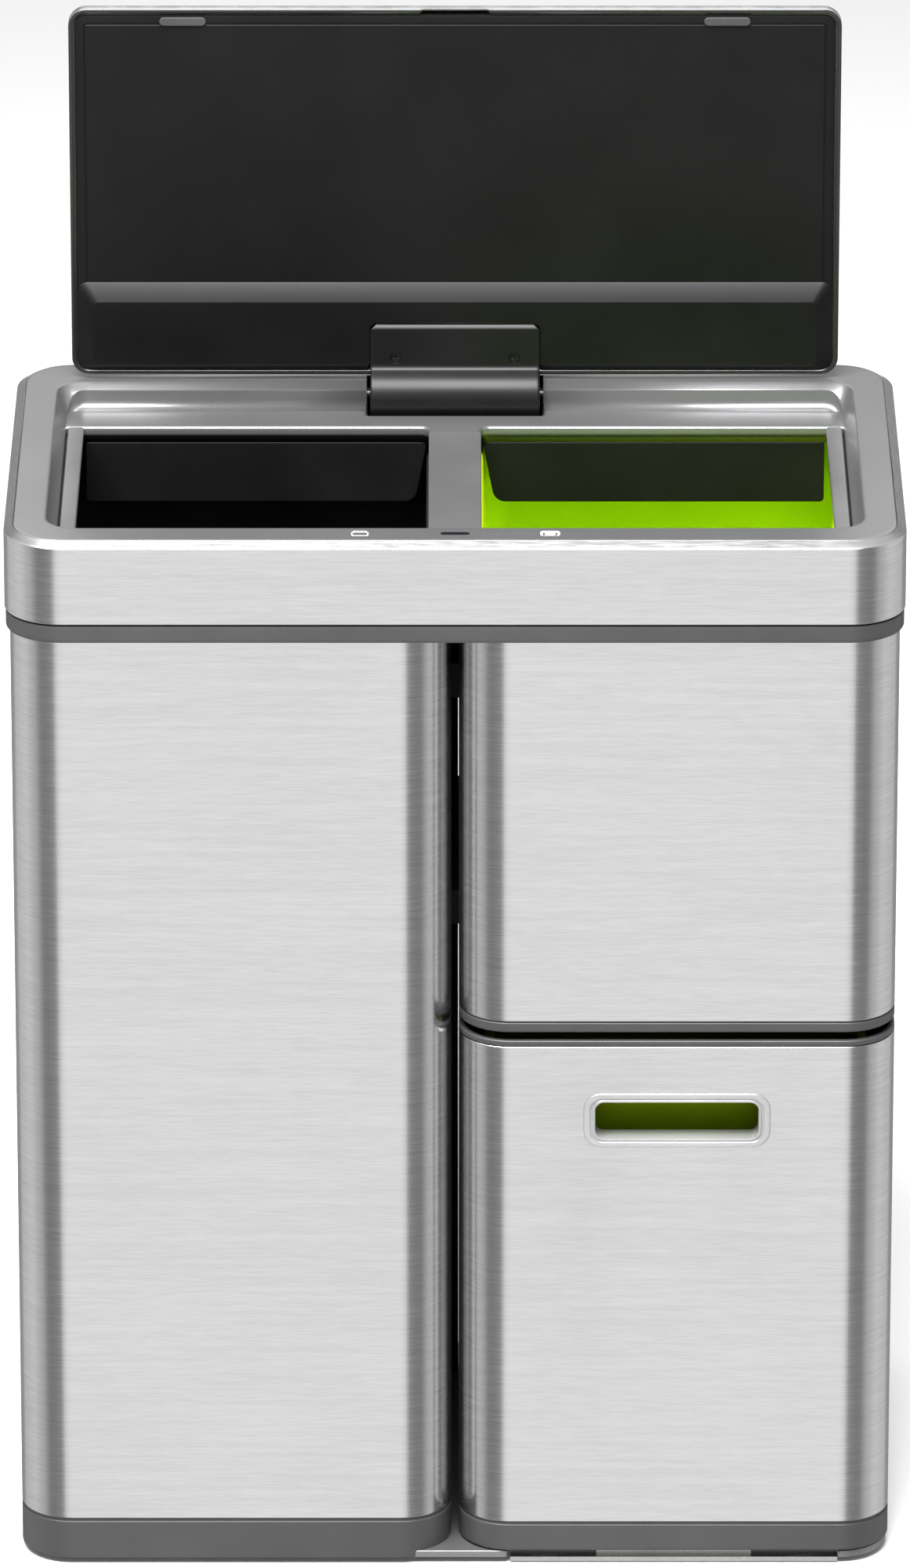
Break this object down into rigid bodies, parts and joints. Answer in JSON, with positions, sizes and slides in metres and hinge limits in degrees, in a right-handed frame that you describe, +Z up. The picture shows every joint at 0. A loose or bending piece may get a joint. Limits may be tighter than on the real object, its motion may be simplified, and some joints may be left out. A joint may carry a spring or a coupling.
{
  "type": "sensor recycling bin",
  "caption": "Free-standing brushed-steel sorting bin: tall column, upper column and pull-out drawer bin under one powered lid, shown open.",
  "frame": {"origin": "on the floor, under the middle of the bin's outline", "axes": "+X to the right seen from the front, the front faces -Y, +Z up"},
  "size_m": [0.59, 0.345, 0.997],
  "materials": {
    "brushed_steel": "horizontal brushed grain",
    "dark_plastic": "satin moulded",
    "black_plastic": "fine moulded texture",
    "satin_plastic": "satin grey moulded",
    "green_plastic": "smooth moulded lime green",
    "slide_steel": "zinc plated",
    "sensor_plastic": "gloss infra-red window",
    "print_light": "printed",
    "print_dark": "printed",
    "acetal": "natural acetal",
    "bronze": "sintered",
    "board": "solder mask",
    "cell_wrap": "wrapped cells",
    "foot_rubber": "moulded rubber"
  },
  "bodies": {
    "cabinet": {"base_plate": "satin_plastic", "feet": "foot_rubber", "base_screws": "slide_steel", "left_base_ring": "dark_plastic", "left_column_shell": "brushed_steel", "upper_base_ring": "dark_plastic", "upper_floor_pan": "black_plastic", "upper_column_shell": "brushed_steel", "rear_panel": "brushed_steel", "column_joiners": "black_plastic", "joiner_bolts": "slide_steel", "top_ring": "dark_plastic", "slide_rails": "slide_steel"},
    "top": {"collar_band": "brushed_steel", "collar_frame": "dark_plastic", "top_rim": "satin_plastic", "housing_left": "black_plastic", "housing_right": "black_plastic", "mechanism_tray": "black_plastic", "battery_cells": "cell_wrap", "battery_cover": "dark_plastic", "control_board": "board", "gearmotor": "dark_plastic", "motor_can": "slide_steel", "bearing_blocks": "dark_plastic", "hinge_bushes": "bronze", "sensor_window": "sensor_plastic", "touch_icons": "print_light", "indicator_lines": "print_dark", "switch_bezel": "black_plastic"},
    "switch": {"power_switch": "black_plastic"},
    "bag_frame": {"liner_frame": "satin_plastic"},
    "lid": {"lid_skin": "brushed_steel", "lid_liner": "black_plastic", "liner_panel": "black_plastic", "hinge_arm": "black_plastic", "arm_screws": "slide_steel", "hinge_shaft": "slide_steel", "lid_gear": "acetal", "lid_bumpers": "dark_plastic"},
    "drive": {"drive_gear": "acetal", "drive_shaft": "slide_steel"},
    "drawer": {"drawer_shell": "brushed_steel", "drawer_top_trim": "dark_plastic", "drawer_base_ring": "dark_plastic", "drawer_floor": "black_plastic", "handle_bezel": "dark_plastic", "drawer_runners": "slide_steel"},
    "carriage": {"slide_carriage": "slide_steel"},
    "left_bin": {"left_bucket": "black_plastic"},
    "upper_bin": {"upper_bucket": "green_plastic"},
    "drawer_bin": {"drawer_bucket": "green_plastic"}
  },
  "joints": [
    {"name": "top_lift", "type": "slide", "parent": "cabinet", "child": "top", "axis": [0, 0, 1], "range_m": [0, 0.12]},
    {"name": "lid_hinge", "type": "hinge", "parent": "top", "child": "lid", "pos_m": [0, 0.1385, 0.7245], "axis": [-1, 0, 0], "range_deg": [-90, 0]},
    {"name": "drive_spin", "type": "hinge", "parent": "top", "child": "drive", "pos_m": [0, 0.15404, 0.7205], "axis": [-1, 0, 0], "range_deg": [0, 70.5]},
    {"name": "switch_slide", "type": "slide", "parent": "top", "child": "switch", "axis": [1, 0, 0], "range_m": [0, 0.006]},
    {"name": "liner_frame_lift", "type": "slide", "parent": "top", "child": "bag_frame", "axis": [0, 0, 1], "range_m": [0, 0.15]},
    {"name": "drawer_slide", "type": "slide", "parent": "cabinet", "child": "drawer", "axis": [0, -1, 0], "range_m": [0, 0.25]},
    {"name": "carriage_slide", "type": "slide", "parent": "cabinet", "child": "carriage", "axis": [0, -1, 0], "range_m": [0, 0.13]},
    {"name": "left_bucket_lift", "type": "slide", "parent": "cabinet", "child": "left_bin", "axis": [0, 0, 1], "range_m": [0, 0.003]},
    {"name": "upper_bucket_lift", "type": "slide", "parent": "cabinet", "child": "upper_bin", "axis": [0, 0, 1], "range_m": [0, 0.003]},
    {"name": "drawer_bucket_lift", "type": "slide", "parent": "drawer", "child": "drawer_bin", "axis": [0, 0, 1], "range_m": [0, 0.02]}
  ],
  "couplings": [
    {"joint": "drive_spin", "follows": "lid_hinge", "ratio": -0.77778},
    {"joint": "carriage_slide", "follows": "drawer_slide", "ratio": 0.5}
  ]
}
